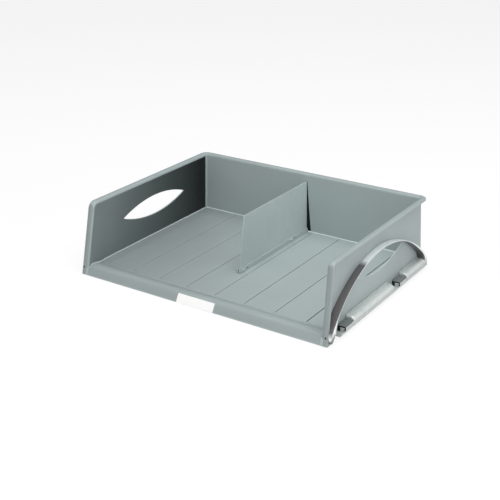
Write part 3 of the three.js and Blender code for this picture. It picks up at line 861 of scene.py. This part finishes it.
piece("divider_sheet", divider_plate(), grey, "divider", ["divider_plate"], "grey_plastic", bevel=0.45)
piece("divider_strip", divider_strip(), grey, "divider", ["divider_foot"], "grey_plastic", bevel=0.5)
for end in ("front", "rear"):
    node = f"divider_peg_{end}"
    shape, peg_y, peg_z = peg(node)
    piece(f"divider_pin_{end}", shape, peg_mat, "divider", [node], "peg_plastic", angle=50)
    # Black pits just behind each peg stand for the peg's painted shadow.
    pits = peg_painted_shadow_pits(peg_y + 13, peg_z - 0.6)
    piece(f"divider_painted_shadow_pit_{end}", pits, black, "divider", ["divider_foot"], "grey_plastic", angle=50)


# ---------------------------------------------------------------- rails, clips, arches
# Built on the right; the left set is the same one turned half round.
RAIL_LO, RAIL_HI = box_mm("rail_right")
ARCH_LO = box_mm("arch_right")[0]
RAIL_IN, RAIL_OUT = RAIL_LO[0], RAIL_HI[0]
RAIL_Z0, RAIL_TOP = RAIL_LO[2], RAIL_HI[2]
CLIPS = [box_mm("clip_right_front"), box_mm("clip_right_rear")]
PADS = [box_mm("clip_pad_right_front"), box_mm("clip_pad_right_rear")]
STRIP_TOP = 14.8
STRIP_LOW = 9.9
STRIP_W = 1.0
CLIP_SHORT = 2.8
RAIL_CROWN = RAIL_TOP - 1.1
RAIL_CROWN_X = 243.0
RAIL_SIDE = 13.5
RAIL_PLATE = 6.5
GROOVE_X = 238.7
MOUTH_REAR = FRONT + 227
LEG_OUT = 241.8
HOOK_IN = 249.3
CLIP_BAR = 1.8
CLIP_TIP = 8.8
PAD_WIDER = 0.8


def rail_base():
    """Underside of the rail with its chamfered outer corner, in (x, z)."""
    return [
        (RAIL_IN, RAIL_Z0), (RAIL_OUT - 2.6, RAIL_Z0), (RAIL_OUT - 2.2, RAIL_Z0 + 0.12),
        (RAIL_OUT - 0.12, RAIL_Z0 + 2.2), (RAIL_OUT, RAIL_Z0 + 2.6),
    ]


def rail_full():
    """Rounded body, groove, and bead against the wall, in (x, z)."""
    rx, rz = RAIL_OUT - RAIL_CROWN_X, RAIL_CROWN - RAIL_SIDE
    pts = rail_base()
    for x, z in arc(0, 0, 1, 0, 90, 14):
        pts.append((RAIL_OUT - rx + rx * x, RAIL_SIDE + rz * z))
    to_groove = ((3.0, 0.1), (1.9, 0.5), (1.1, 1.1), (0.5, 1.9), (0.0, 2.2), (-0.5, 1.8))
    pts += [(GROOVE_X + x, RAIL_CROWN - deep) for x, deep in to_groove]
    bead = ((0.6, 0.5), (0.9, 0.1), (1.4, 0.0), (1.8, 0.1))
    pts += [(GROOVE_X - x, RAIL_TOP - deep) for x, deep in bead]
    return pts + [(RAIL_IN, RAIL_TOP - 0.5)]


def rail_bar(b, start, stop):
    """The full section from start to stop, with softened ends."""
    mid_x, mid_z = 244.5, 12.0
    ends = ((0.0, 0.94), (0.12, 0.97), (0.45, 1.0))
    steps = [(start + t, k) for t, k in ends] + [(t, 1.0) for t in spread(start, stop, 16)[1:-1]]
    steps += [(stop - t, k) for t, k in reversed(ends)]
    section = rail_full()
    rows = [[(mid_x + (u - mid_x) * k, t, mid_z + (v - mid_z) * k) for u, v in section] for t, k in steps]
    b.grid(rows, close_cols=True)
    b.cap(rows[0])
    b.cap(rows[-1])


def rail_low(high):
    """Plate and outer strip where the rail is cut away."""
    inner = RAIL_OUT - STRIP_W
    fillet_x, fillet_z = 249.2, 8.6
    return rail_base() + [
        (RAIL_OUT, high - 0.25), (RAIL_OUT - 0.25, high), (inner + 0.25, high),
        (inner, high - 0.25), (inner, fillet_z), (fillet_x, RAIL_PLATE), (RAIL_IN, RAIL_PLATE),
    ]


def rail():
    """The full bars, the cut-away lengths, and the tongues under the clips."""
    full, low, core = Build(), Build(), Build()
    fronts = [c[0][1] for c in CLIPS]
    rears = [c[1][1] + 0.4 - CLIP_SHORT for c in CLIPS]
    rail_bar(full, rears[0], MOUTH_REAR)
    rail_bar(full, rears[1], RAIL_HI[1])
    for a, front, rear in zip((RAIL_LO[1], MOUTH_REAR - 1), fronts, rears):
        low.prism(rail_low(STRIP_LOW), along_y, a, front + 0.5)
        low.prism(rail_low(STRIP_TOP), along_y, front - 0.2, rear + 1)
    core_top = CLIPS[0][1][2] - CLIP_BAR - 0.2
    for a, c in zip(fronts, rears):
        core.box(LEG_OUT + 0.3, HOOK_IN - 0.3, a - 1, c + 1, RAIL_PLATE - 0.5, core_top)
    return full, low, core


def clip(lo, hi):
    """A hook like an n: a broad leg by the wall, a bar over the tongue and a short outer lip."""
    b = Build()
    x0, x1 = lo[0], hi[0]
    top, foot = hi[2], lo[2]
    under, tip = top - CLIP_BAR, CLIP_TIP
    outline = [(x0, foot + 0.6), (x0 + 0.6, foot), (LEG_OUT - 0.5, foot), (LEG_OUT, foot + 0.5)]
    outline += [(LEG_OUT, under - 0.6), (LEG_OUT + 0.6, under), (x1 - 2.7, under), (x1 - 2.0, under - 0.4)]
    outline += [(HOOK_IN, under - 1.3), (HOOK_IN, tip + 0.4), (x1 - 1.3, tip)]
    outline += [(x1 - 0.4, tip), (x1, tip + 0.4), (x1, top - 2.3)]
    outline += [(x1 - 0.35, top - 1.2), (x1 - 1.1, top - 0.45), (x1 - 2.2, top), (x0, top)]
    b.prism(outline, along_y, lo[1], hi[1] - CLIP_SHORT)
    return b


def pad(lo, hi):
    """The soft pad on top of a clip."""
    b = Build()
    b.box(lo[0], hi[0] + PAD_WIDER, lo[1], hi[1] - CLIP_SHORT, lo[2] - 0.2, hi[2])
    return b


ARCH_CY, ARCH_CZ, ARCH_R = -5.0, -167.5, 263.0
BAND = 1.9


def arch_z(y, r):
    """Height of the arch's circle at y."""
    return ARCH_CZ + math.sqrt(r * r - (y - ARCH_CY) ** 2)


# Pairs of outer and inner points as (y, z, y, z), y behind the front plane; None is the arch's own height.
ARCH_FRONT = [
    (5.6, 4.6, 9.6, 4.6), (4.4, 5.2, 12.2, 6.0), (3.6, 6.8, 13.6, 8.2), (3.0, 9.5, 14.6, 10.2),
    (2.9, 13.0, 15.4, 12.8), (4.6, None, 16.2, 15.6), (7.2, None, 17.2, 18.8), (10.0, None, 18.4, 22.4),
    (13.0, None, 20.0, 26.6), (16.4, None, 22.4, 31.2),
]
ARCH_REAR = [
    (358.6, 30.9, 353.0, 29.2), (362.0, 26.9, 354.9, 26.2), (364.4, 23.8, 356.0, 23.6),
    (366.4, 20.8, 356.4, 21.0), (368.7, 16.4, 356.4, 16.4), (370.6, 11.4, 356.4, 11.4),
    (371.6, 7.4, 356.4, 7.4), (371.6, 6.3, 356.4, 6.3), (370.9, RAIL_Z0, 356.4, RAIL_Z0),
]
ARCH_STEPS = 84


def station(outer_y, outer_z, inner_y, inner_z):
    if outer_z is None:
        outer_z = arch_z(FRONT + outer_y, ARCH_R)
    return (FRONT + outer_y, outer_z), (FRONT + inner_y, inner_z)


def arch_angle(y):
    return math.atan2(arch_z(FRONT + y, ARCH_R) - ARCH_CZ, FRONT + y - ARCH_CY)


def arch_stations():
    """Pairs of outer and inner points in (y, z), from the front foot to the rear foot."""
    st = [station(*row) for row in ARCH_FRONT]
    st.append(station(20.4, None, 24.6, arch_z(FRONT + 24.6, ARCH_R - BAND - 1.2)))
    for i, a in enumerate(spread(arch_angle(25), arch_angle(346), ARCH_STEPS)):
        y = ARCH_CY + ARCH_R * math.cos(a)
        grow = clamp((y - (FRONT + 288)) / 60.0)
        thick = BAND + 2.5 * grow * grow * (3 - 2 * grow)
        if i < 3:
            thick += (0.6, 0.3, 0.1)[i]
        st.append((
            (y, ARCH_CZ + ARCH_R * math.sin(a)),
            (ARCH_CY + (ARCH_R - thick) * math.cos(a), ARCH_CZ + (ARCH_R - thick) * math.sin(a)),
        ))
    st.append(station(350.2, None, 347.4, 35.4))
    st.append(station(354.6, arch_z(FRONT + 354.6, ARCH_R - 0.1), 350.6, 32.2))
    return st + [station(*row) for row in ARCH_REAR]


def arch_width(z):
    """Outer X of the band at a height."""
    table = [(0, 248.6), (6, 249.4), (14, 250.8), (24, 251.6)]
    table += [(36, 251.0), (60, 249.6), (85, 249.0), (110, 249.0)]
    out = table[-1][1]
    for (a, p), (c, q) in zip(table, table[1:]):
        if a <= z <= c:
            out = p + (q - p) * (z - a) / (c - a)
            break
    return out


def arch():
    """The band; low on its front foot the inner edge moves out to clear the rim."""
    b = Build()
    rows = []
    for outer, inner in arch_stations():
        z = outer[1]
        x1 = arch_width(z)
        near = far = ARCH_LO[0]
        if outer[0] < FRONT + 60:
            near += (RIM_X + 0.5 - near) * clamp((27.0 - z) / 7.0)
            far += (RIM_X + 0.5 - far) * clamp((12.0 - z) / 5.0)
        dy, dz = inner[0] - outer[0], inner[1] - outer[1]
        thick = math.hypot(dy, dz)
        r = min(0.75, thick * 0.42)
        k = r / thick
        row = []
        for corner, (cx, ct) in enumerate(((x1 - r, k), (x1 - r, 1 - k), (far + r, 1 - k), (near + r, k))):
            for i in range(4):
                a = math.radians((-90, 0, 90, 180)[corner] + 30 * i)
                row.append((cx + r * math.cos(a), ct + k * math.sin(a)))
        rows.append([(x, outer[0] + dy * t, outer[1] + dz * t) for x, t in row])
    b.grid(rows, close_cols=True)
    b.cap(rows[0])
    b.cap(rows[-1])
    return b


def arch_heel():
    """The part of the rear foot that carries on the rail's section."""
    b = Build()
    rail_bar(b, RAIL_HI[1] + 0.5, FRONT + 357.5)
    return b


def placed(build, side):
    return build if side == "right" else build.half_turn()


full, low, core = rail()
arch_shape = arch()
heel = arch_heel()
for side, ends in (("right", ("front", "rear")), ("left", ("rear", "front"))):
    rail_part = (silver, "tray", [f"rail_{side}"], "rail_silver")
    piece(f"rail_bar_{side}", placed(full, side), *rail_part, angle=40)
    piece(f"rail_strip_{side}", placed(low, side), *rail_part, bevel=0.25, angle=40)
    piece(f"rail_core_{side}", placed(core, side), *rail_part, bevel=0.4)
    for clip_box, pad_box, end in zip(CLIPS, PADS, ends):
        where = f"{side}_{end}"
        hook = placed(clip(*clip_box), side)
        top_pad = placed(pad(*pad_box), side)
        piece(f"clip_hook_{where}", hook, black, "tray", [f"clip_{where}"], "black_plastic", bevel=0.2)
        piece(f"clip_top_{where}", top_pad, pad_mat, "tray", [f"clip_pad_{where}"], "dark_rubber", bevel=0.35)
    arch_part = (f"{side}_arch", [f"arch_{side}"], "satin_metal")
    piece(f"arch_band_{side}", placed(arch_shape, side), chrome, *arch_part, angle=50)
    piece(f"arch_heel_{side}", placed(heel, side), silver, *arch_part, angle=40)


# ---------------------------------------------------------------- label and feet
def label():
    """A thin card that follows the face of the lip."""
    lo, hi = box_mm("label_card")
    b = Build()
    pts = [(FRONT + y, z) for y, z in LIP[1:LIP_FACE]][::-1]
    near, out = [], []
    for i, (y, z) in enumerate(pts):
        a = pts[max(0, i - 1)]
        c = pts[min(len(pts) - 1, i + 1)]
        ty, tz = c[0] - a[0], c[1] - a[1]
        size = math.hypot(ty, tz)
        ny, nz = tz / size, -ty / size
        near.append((y - ny * 0.05, z - nz * 0.05))
        out.append((y + ny * 0.3, z + nz * 0.3))
    b.prism(near + out[::-1], along_x, lo[0], hi[0])
    return b


def foot(node):
    """A round foot with a softened lower edge."""
    lo, hi = box_mm(node)
    cx, cy, r = (lo[0] + hi[0]) / 2, (lo[1] + hi[1]) / 2, (hi[0] - lo[0]) / 2
    b = Build()
    rows = []
    for rr, z in ((r - 0.35, lo[2]), (r - 0.1, lo[2] + 0.1), (r, lo[2] + 0.35), (r, hi[2])):
        rows.append([(cx + rr * c, cy + rr * s, z) for c, s in ring(36)])
    b.grid(rows, close_cols=True)
    b.cap(rows[0])
    b.cap(rows[-1])
    return b


piece("label", label(), card, "tray", ["label_card"], "white_card", angle=40)
for side in ("right", "left"):
    for end in ("front", "rear"):
        node = f"foot_pad_{side}_{end}"
        piece(f"foot_{side}_{end}", foot(node), foot_mat, "tray", [node], "dark_rubber")


# ---------------------------------------------------------------- studio
FLOOR_GLOW = 1.06
FLOOR_GLOW_SHARE = 0.8
WORLD_LIGHT = 0.14


def studio_floor():
    """A white ground that the camera sees mostly as even white and the object sees as a matt surface."""
    n = Nodes("studio_floor")
    n.bsdf.inputs["Roughness"].default_value = 0.9
    cloud = n.ramp(n.noise(1.5, 2.0, 0.5), 0.3, 0.7, 0.0, 1.0)
    n.link(n.mix(cloud, (0.92, 0.92, 0.92), (0.94, 0.94, 0.94)), n.bsdf.inputs["Base Color"])
    path = n.node("ShaderNodeLightPath")
    glow = n.node("ShaderNodeEmission")
    glow.inputs["Color"].default_value = (1, 1, 1, 1)
    glow.inputs["Strength"].default_value = FLOOR_GLOW
    mixer = n.node("ShaderNodeMixShader")
    n.link(n.times(path.outputs["Is Camera Ray"], FLOOR_GLOW_SHARE), mixer.inputs[0])
    n.link(n.bsdf.outputs[0], mixer.inputs[1])
    n.link(glow.outputs[0], mixer.inputs[2])
    n.link(mixer.outputs[0], n.tree.nodes["Material Output"].inputs["Surface"])
    mesh = bpy.data.meshes.new("studio_floor")
    far = 30.0
    mesh.from_pydata([(-far, -far, 0), (far, -far, 0), (far, far, 0), (-far, far, 0)], [], [(0, 1, 2, 3)])
    obj = bpy.data.objects.new("studio_floor", mesh)
    bpy.context.scene.collection.objects.link(obj)
    mesh.materials.append(n.material)


def area(name, spot, aim, size, power):
    """A rectangular lamp at a spot, aimed at a point, unseen by the camera."""
    lamp = bpy.data.lights.new(name, "AREA")
    lamp.shape = "RECTANGLE"
    lamp.size, lamp.size_y = size
    lamp.energy = power
    obj = bpy.data.objects.new(name, lamp)
    bpy.context.scene.collection.objects.link(obj)
    obj.location = spot
    obj.rotation_euler = (Vector(aim) - Vector(spot)).to_track_quat("-Z", "Y").to_euler()
    obj.visible_camera = False
    return obj


studio_floor()
world = bpy.data.worlds.new("studio")
bpy.context.scene.world = world
world.use_nodes = True
back = world.node_tree.nodes["Background"]
back.inputs["Color"].default_value = (1, 1, 1, 1)
path = world.node_tree.nodes.new("ShaderNodeLightPath")
seen = world.node_tree.nodes.new("ShaderNodeMapRange")
seen.inputs["To Min"].default_value = WORLD_LIGHT
seen.inputs["To Max"].default_value = 1.0
world.node_tree.links.new(path.outputs["Is Camera Ray"], seen.inputs["Value"])
world.node_tree.links.new(seen.outputs["Result"], back.inputs["Strength"])

key = area("key", (1.0, -1.2, 1.9), (0.1, 0, 0.05), (1.6, 1.6), 20)
top = area("top", (0.3, 0.1, 2.4), (0.1, 0, 0), (2.2, 2.2), 34)
side_lamp = area("side", (2.2, -0.3, 0.8), (0, 0, 0.08), (1.6, 1.2), 12)
front_lamp = area("front", (-0.2, -2.4, 1.1), (0, 0, 0.06), (2.4, 1.4), 11.5)
wall_lamp = area("wall_front", (0.1, -0.75, 0.35), (-0.25, -0.12, 0.06), (0.25, 0.25), 0.8)
floor_lamp = area("floor_right", (0.75, -0.05, 0.9), (0.05, 0, 0), (0.7, 0.7), 5.4)
divider_lamp = area("divider_right", (1.1, -0.5, 0.6), (0, 0, 0.06), (0.6, 0.6), 2.6)


def only_for(name, lamps, objects):
    """Lets some lamps light only some objects."""
    group = bpy.data.collections.new(name)
    for obj in objects:
        group.objects.link(obj)
    for lamp in lamps:
        lamp.light_linking.receiver_collection = group


meshes = [obj for obj in bpy.context.scene.collection.objects if obj.type == "MESH"]
metal = [obj for obj in meshes if obj.name.startswith("arch_band")]
plain = [obj for obj in meshes if obj is not left_skin and obj not in metal]
floor_skin = [obj for obj in meshes if obj.name == "tray_floor"]
sheet = [obj for obj in meshes if obj.name == "divider_sheet"]
feet = [obj for obj in meshes if obj.name.startswith("foot_")]
only_for("lit_by_key", [key, side_lamp], [obj for obj in plain + metal if obj not in floor_skin])
only_for("lit_by_front", [front_lamp], plain + metal)
only_for("lit_by_top", [top], plain + metal)
only_for("lit_by_wall_lamp", [wall_lamp], [left_skin])
only_for("lit_by_floor_lamp", [floor_lamp], floor_skin)
only_for("lit_by_divider_lamp", [divider_lamp], sheet)
# Only the feet cast shadows in the light of these two lamps.
unshaded = bpy.data.collections.new("floor_blockers")
for obj in feet:
    unshaded.objects.link(obj)
floor_lamp.light_linking.blocker_collection = unshaded
divider_lamp.light_linking.blocker_collection = unshaded

bpy.context.scene.view_settings.view_transform = "Standard"

# ---------------------------------------------------------------- camera
CAM_X, CAM_Y, CAM_Z = 1.00584, -1.62844, 0.79145
AZ, EL = math.radians(34.27), math.radians(2.911)
LENS = 78.288
SHIFT = (0.08234, -0.73488)
camera_data = bpy.data.cameras.new("camera")
camera = bpy.data.objects.new("camera", camera_data)
bpy.context.scene.collection.objects.link(camera)
bpy.context.scene.camera = camera
camera.location = (CAM_X, CAM_Y, CAM_Z)
look = Vector((-math.sin(AZ) * math.cos(EL), math.cos(AZ) * math.cos(EL), -math.sin(EL)))
camera.rotation_mode = "QUATERNION"
camera.rotation_quaternion = look.to_track_quat("-Z", "Y")
camera_data.lens = LENS
camera_data.sensor_width = 36.0
camera_data.clip_start = 0.05
camera_data.clip_end = 100.0


home = bpy.data.objects.new("camera_home", None)
bpy.context.scene.collection.objects.link(home)
home.location = camera.location


def shift_at_home(path, value):
    """The lens shift holds while the camera stands at its home and is nothing elsewhere."""
    curve = camera_data.driver_add(path)
    curve.driver.type = "AVERAGE"
    var = curve.driver.variables.new()
    var.type = "LOC_DIFF"
    var.targets[0].id = camera
    var.targets[1].id = home
    for m in list(curve.modifiers):
        curve.modifiers.remove(m)
    for distance, shift in ((-1.0, value), (0.05, value), (0.1, 0.0), (1.0, 0.0)):
        point = curve.keyframe_points.insert(distance, shift)
        point.interpolation = "LINEAR"
    curve.extrapolation = "CONSTANT"


shift_at_home("shift_x", SHIFT[0])
shift_at_home("shift_y", SHIFT[1])
